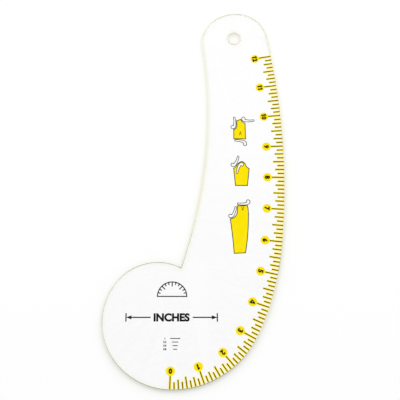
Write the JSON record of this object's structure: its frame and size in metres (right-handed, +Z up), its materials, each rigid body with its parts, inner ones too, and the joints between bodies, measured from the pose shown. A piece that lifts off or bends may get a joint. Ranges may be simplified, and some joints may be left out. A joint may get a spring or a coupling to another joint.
{
  "type": "curve ruler",
  "caption": "Clear flat curve ruler for pattern making: a hooked, tapering outline with an inch scale along its outer edge, garment pattern figures and a hanging hole.",
  "frame": {"origin": "on the underside, at the middle of the bounding box in X and Y", "axes": "+X from the inner edge towards the scale edge, +Y from the head towards the end with the hanging hole, +Z up out of the printed face"},
  "size_m": [0.1366, 0.2982, 0.0027],
  "materials": {
    "clear_acrylic": "clear, polished",
    "yellow_ink": "printed, satin",
    "black_ink": "printed, satin"
  },
  "bodies": {
    "root": {"acrylic_sheet": "clear_acrylic", "inch_flag_00": "yellow_ink", "inch_flag_01": "yellow_ink", "inch_flag_02": "yellow_ink", "inch_flag_03": "yellow_ink", "inch_flag_04": "yellow_ink", "inch_flag_05": "yellow_ink", "inch_flag_06": "yellow_ink", "inch_flag_07": "yellow_ink", "inch_flag_08": "yellow_ink", "inch_flag_09": "yellow_ink", "inch_flag_10": "yellow_ink", "inch_flag_11": "yellow_ink", "inch_flag_12": "yellow_ink", "half_inch_stripe_00": "yellow_ink", "half_inch_stripe_01": "yellow_ink", "half_inch_stripe_02": "yellow_ink", "half_inch_stripe_03": "yellow_ink", "half_inch_stripe_04": "yellow_ink", "half_inch_stripe_05": "yellow_ink", "half_inch_stripe_06": "yellow_ink", "half_inch_stripe_07": "yellow_ink", "half_inch_stripe_08": "yellow_ink", "half_inch_stripe_09": "yellow_ink", "half_inch_stripe_10": "yellow_ink", "half_inch_stripe_11": "yellow_ink", "trousers_fill": "yellow_ink", "sleeve_fill": "yellow_ink", "bodice_fill": "yellow_ink", "numeral_00": "black_ink", "numeral_01": "black_ink", "numeral_02": "black_ink", "numeral_03": "black_ink", "numeral_04": "black_ink", "numeral_05": "black_ink", "numeral_06": "black_ink", "numeral_07": "black_ink", "numeral_08": "black_ink", "numeral_09": "black_ink", "numeral_10_tens": "black_ink", "numeral_10_units": "black_ink", "numeral_11_tens": "black_ink", "numeral_11_units": "black_ink", "numeral_12_tens": "black_ink", "numeral_12_units": "black_ink", "trousers_outline": "black_ink", "sleeve_outline": "black_ink", "bodice_outline": "black_ink", "trousers_ruler_waist": "black_ink", "trousers_ruler_crotch": "black_ink", "sleeve_ruler_cap": "black_ink", "sleeve_ruler_inner": "black_ink", "bodice_ruler_armhole": "black_ink", "bodice_ruler_neck": "black_ink", "bodice_ruler_hem": "black_ink"}
  },
  "joints": []
}
